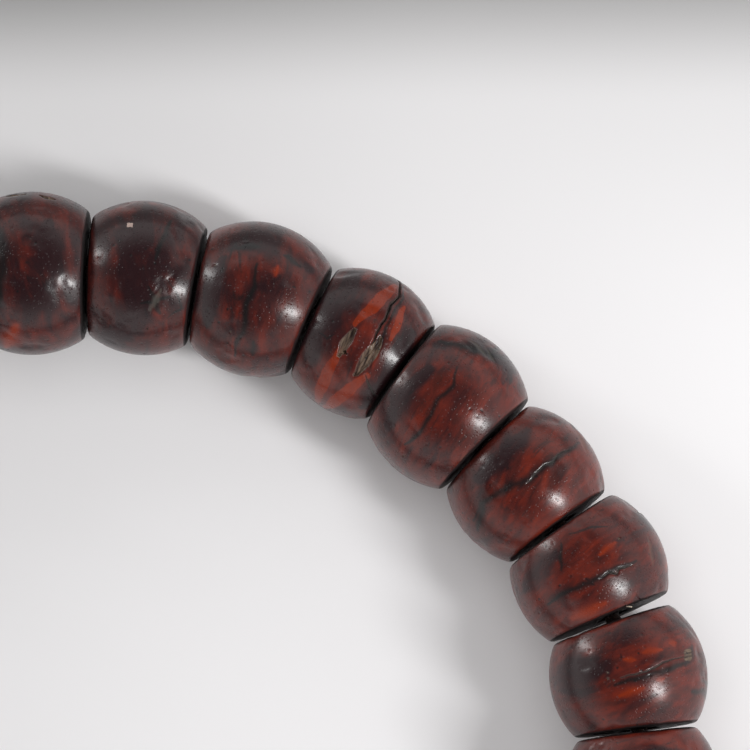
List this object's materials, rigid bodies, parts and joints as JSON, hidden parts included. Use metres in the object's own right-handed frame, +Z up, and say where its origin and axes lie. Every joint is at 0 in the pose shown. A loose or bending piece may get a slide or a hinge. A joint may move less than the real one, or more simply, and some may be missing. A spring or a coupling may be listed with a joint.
{
  "type": "mala prayer beads",
  "caption": "Wrist loop of drum-shaped dark seed beads on one cord, closed by a larger three-hole guru bead, a small tower bead and a knot, for counting prayers.",
  "frame": {"origin": "on the surface the beads rest on, midway across the whole object both ways", "axes": "+Z up from the surface; the guru bead and its tail point towards -Y; the beads are numbered clockwise from the guru bead as seen from above"},
  "size_m": [0.0834, 0.0936, 0.012],
  "materials": {
    "bead_seed": "hand-worn satin seed shell, dark mahogany with rust flecks, cracks and pits",
    "guru_seed": "hand-worn satin seed shell",
    "tower_wood": "turned and waxed dark wood",
    "cord_thread": "twisted waxed cotton, slightly fuzzy",
    "knot_thread": "the same cord pulled tight in a knot"
  },
  "bodies": {
    "strand": {"stringing_cord": "cord_thread", "guru_bead": "guru_seed", "closing_knot": "knot_thread"},
    "tower": {"tower_bead": "tower_wood"},
    "bead_01": {"bead_01": "bead_seed"},
    "bead_02": {"bead_02": "bead_seed"},
    "bead_03": {"bead_03": "bead_seed"},
    "bead_04": {"bead_04": "bead_seed"},
    "bead_05": {"bead_05": "bead_seed"},
    "bead_06": {"bead_06": "bead_seed"},
    "bead_07": {"bead_07": "bead_seed"},
    "bead_08": {"bead_08": "bead_seed"},
    "bead_09": {"bead_09": "bead_seed"},
    "bead_10": {"bead_10": "bead_seed"},
    "bead_11": {"bead_11": "bead_seed"},
    "bead_12": {"bead_12": "bead_seed"},
    "bead_13": {"bead_13": "bead_seed"},
    "bead_14": {"bead_14": "bead_seed"},
    "bead_15": {"bead_15": "bead_seed"},
    "bead_16": {"bead_16": "bead_seed"},
    "bead_17": {"bead_17": "bead_seed"},
    "bead_18": {"bead_18": "bead_seed"},
    "bead_19": {"bead_19": "bead_seed"},
    "bead_20": {"bead_20": "bead_seed"},
    "bead_21": {"bead_21": "bead_seed"},
    "bead_22": {"bead_22": "bead_seed"},
    "bead_23": {"bead_23": "bead_seed"},
    "bead_24": {"bead_24": "bead_seed"},
    "bead_25": {"bead_25": "bead_seed"},
    "bead_26": {"bead_26": "bead_seed"},
    "bead_27": {"bead_27": "bead_seed"}
  },
  "joints": [
    {"name": "bead_01_turn", "type": "hinge", "parent": "strand", "child": "bead_01", "pos_m": [-0.01261, -0.02424, 0.0053], "axis": [-0.9773, 0.2116, 0], "range_deg": [-12, 12]},
    {"name": "bead_02_turn", "type": "hinge", "parent": "strand", "child": "bead_02", "pos_m": [-0.01957, -0.02173, 0.00515], "axis": [-0.8885, 0.4589, 0], "range_deg": [-12, 12]},
    {"name": "bead_03_turn", "type": "hinge", "parent": "strand", "child": "bead_03", "pos_m": [-0.02596, -0.01745, 0.00537], "axis": [-0.7653, 0.6437, 0], "range_deg": [-12, 12]},
    {"name": "bead_04_turn", "type": "hinge", "parent": "strand", "child": "bead_04", "pos_m": [-0.03127, -0.01158, 0.00522], "axis": [-0.5668, 0.8239, 0], "range_deg": [-12, 12]},
    {"name": "bead_05_turn", "type": "hinge", "parent": "strand", "child": "bead_05", "pos_m": [-0.03493, -0.00468, 0.00532], "axis": [-0.3578, 0.9338, 0], "range_deg": [-12, 12]},
    {"name": "bead_06_turn", "type": "hinge", "parent": "strand", "child": "bead_06", "pos_m": [-0.03663, 0.00261, 0.0051], "axis": [-0.0862, 0.9963, 0], "range_deg": [-12, 12]},
    {"name": "bead_07_turn", "type": "hinge", "parent": "strand", "child": "bead_07", "pos_m": [-0.03645, 0.01018, 0.00528], "axis": [0.1275, 0.9918, 0], "range_deg": [-12, 12]},
    {"name": "bead_08_turn", "type": "hinge", "parent": "strand", "child": "bead_08", "pos_m": [-0.03452, 0.01761, 0.00535], "axis": [0.3706, 0.9288, 0], "range_deg": [-12, 12]},
    {"name": "bead_09_turn", "type": "hinge", "parent": "strand", "child": "bead_09", "pos_m": [-0.03084, 0.02444, 0.00517], "axis": [0.5697, 0.8218, 0], "range_deg": [-12, 12]},
    {"name": "bead_10_turn", "type": "hinge", "parent": "strand", "child": "bead_10", "pos_m": [-0.02563, 0.03024, 0.00547], "axis": [0.7578, 0.6525, 0], "range_deg": [-12, 12]},
    {"name": "bead_11_turn", "type": "hinge", "parent": "strand", "child": "bead_11", "pos_m": [-0.01969, 0.03488, 0.00517], "axis": [0.8177, 0.5756, 0], "range_deg": [-12, 12]},
    {"name": "bead_12_turn", "type": "hinge", "parent": "strand", "child": "bead_12", "pos_m": [-0.01297, 0.03867, 0.00522], "axis": [0.9129, 0.4082, 0], "range_deg": [-12, 12]},
    {"name": "bead_13_turn", "type": "hinge", "parent": "strand", "child": "bead_13", "pos_m": [-0.00575, 0.04089, 0.00498], "axis": [0.9874, 0.158, 0], "range_deg": [-12, 12]},
    {"name": "bead_14_turn", "type": "hinge", "parent": "strand", "child": "bead_14", "pos_m": [0.00148, 0.04135, 0.00535], "axis": [0.9997, -0.0255, 0], "range_deg": [-12, 12]},
    {"name": "bead_15_turn", "type": "hinge", "parent": "strand", "child": "bead_15", "pos_m": [0.00889, 0.0408, 0.00513], "axis": [0.9922, -0.1249, 0], "range_deg": [-12, 12]},
    {"name": "bead_16_turn", "type": "hinge", "parent": "strand", "child": "bead_16", "pos_m": [0.01594, 0.03912, 0.00522], "axis": [0.9401, -0.341, 0], "range_deg": [-12, 12]},
    {"name": "bead_17_turn", "type": "hinge", "parent": "strand", "child": "bead_17", "pos_m": [0.02249, 0.03551, 0.0053], "axis": [0.797, -0.604, 0], "range_deg": [-12, 12]},
    {"name": "bead_18_turn", "type": "hinge", "parent": "strand", "child": "bead_18", "pos_m": [0.02808, 0.03037, 0.00525], "axis": [0.67, -0.7424, 0], "range_deg": [-12, 12]},
    {"name": "bead_19_turn", "type": "hinge", "parent": "strand", "child": "bead_19", "pos_m": [0.03258, 0.02407, 0.00515], "axis": [0.4869, -0.8735, 0], "range_deg": [-12, 12]},
    {"name": "bead_20_turn", "type": "hinge", "parent": "strand", "child": "bead_20", "pos_m": [0.03542, 0.01695, 0.0054], "axis": [0.2428, -0.9701, 0], "range_deg": [-12, 12]},
    {"name": "bead_21_turn", "type": "hinge", "parent": "strand", "child": "bead_21", "pos_m": [0.03645, 0.00947, 0.00528], "axis": [0.0316, -0.9995, 0], "range_deg": [-12, 12]},
    {"name": "bead_22_turn", "type": "hinge", "parent": "strand", "child": "bead_22", "pos_m": [0.03572, 0.00171, 0.0052], "axis": [-0.2162, -0.9764, 0], "range_deg": [-12, 12]},
    {"name": "bead_23_turn", "type": "hinge", "parent": "strand", "child": "bead_23", "pos_m": [0.03327, -0.00569, 0.00537], "axis": [-0.4136, -0.9104, 0], "range_deg": [-12, 12]},
    {"name": "bead_24_turn", "type": "hinge", "parent": "strand", "child": "bead_24", "pos_m": [0.02923, -0.01212, 0.00507], "axis": [-0.6393, -0.769, 0], "range_deg": [-12, 12]},
    {"name": "bead_25_turn", "type": "hinge", "parent": "strand", "child": "bead_25", "pos_m": [0.02365, -0.0175, 0.00532], "axis": [-0.7901, -0.6129, 0], "range_deg": [-12, 12]},
    {"name": "bead_26_turn", "type": "hinge", "parent": "strand", "child": "bead_26", "pos_m": [0.01717, -0.02137, 0.00522], "axis": [-0.9171, -0.3986, 0], "range_deg": [-12, 12]},
    {"name": "bead_27_slide", "type": "slide", "parent": "strand", "child": "bead_27", "axis": [-0.9773, -0.2116, 0], "range_m": [0, 0.003]},
    {"name": "tower_spin", "type": "hinge", "parent": "strand", "child": "tower", "pos_m": [-0.00264, -0.034, 0.00362], "axis": [0, -0.9664, -0.257], "continuous": true}
  ]
}
